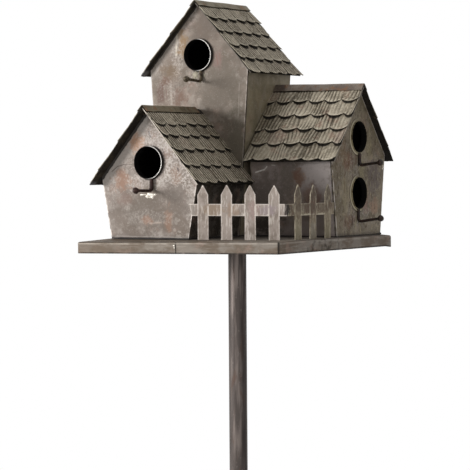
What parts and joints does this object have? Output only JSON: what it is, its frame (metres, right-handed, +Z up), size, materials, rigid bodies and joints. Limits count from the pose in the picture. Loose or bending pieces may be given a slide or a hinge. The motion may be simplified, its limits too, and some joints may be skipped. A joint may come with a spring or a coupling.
{
  "type": "birdhouse on pole",
  "caption": "Sheet-metal birdhouse group with shingled gable roofs, round doorways, perches and a picket fence on a square tray, carried by a round pole.",
  "frame": {"origin": "centre of the pole's open lower end", "axes": "+Z up along the pole; -Y is the side the front house, the tower and the fence face; +X is the side the third house faces"},
  "size_m": [0.2633, 0.2578, 0.7109],
  "materials": {
    "wall_sheet": "weathered zinc grey with rust patches",
    "roof_sheet": "dark weathered",
    "shingle_sheet": "olive grey, stamped grain",
    "tray_sheet": "weathered, brown grey",
    "pole_tube": "dark brown, dull",
    "fence_sheet": "weathered, pinkish grey",
    "collar_tube": "dark, bright rim",
    "perch_wire": "dark rusty iron"
  },
  "bodies": {
    "root": {"tray": "tray_sheet", "pole": "pole_tube", "pole_socket": "pole_tube", "fence_front": "fence_sheet", "fence_side": "fence_sheet", "front_house_gable_wall": "wall_sheet", "front_house_back_wall": "wall_sheet", "front_house_left_wall": "wall_sheet", "front_house_right_wall": "wall_sheet", "front_house_roof": "roof_sheet", "front_house_shingles_left": "shingle_sheet", "front_house_shingles_right": "shingle_sheet", "front_house_ridge_cap": "shingle_sheet", "front_house_collar": "collar_tube", "front_house_perch": "perch_wire", "tower_gable_wall": "wall_sheet", "tower_back_wall": "wall_sheet", "tower_left_wall": "wall_sheet", "tower_right_wall": "wall_sheet", "tower_roof": "roof_sheet", "tower_shingles_left": "shingle_sheet", "tower_shingles_right": "shingle_sheet", "tower_ridge_cap": "shingle_sheet", "tower_collar": "collar_tube", "tower_perch": "perch_wire", "side_house_gable_wall": "wall_sheet", "side_house_back_wall": "wall_sheet", "side_house_left_wall": "wall_sheet", "side_house_right_wall": "wall_sheet", "side_house_roof": "roof_sheet", "side_house_shingles_left": "shingle_sheet", "side_house_shingles_right": "shingle_sheet", "side_house_ridge_cap": "shingle_sheet", "side_house_collar_upper": "collar_tube", "side_house_perch_upper": "perch_wire", "side_house_collar_lower": "collar_tube", "side_house_perch_lower": "perch_wire"}
  },
  "joints": []
}
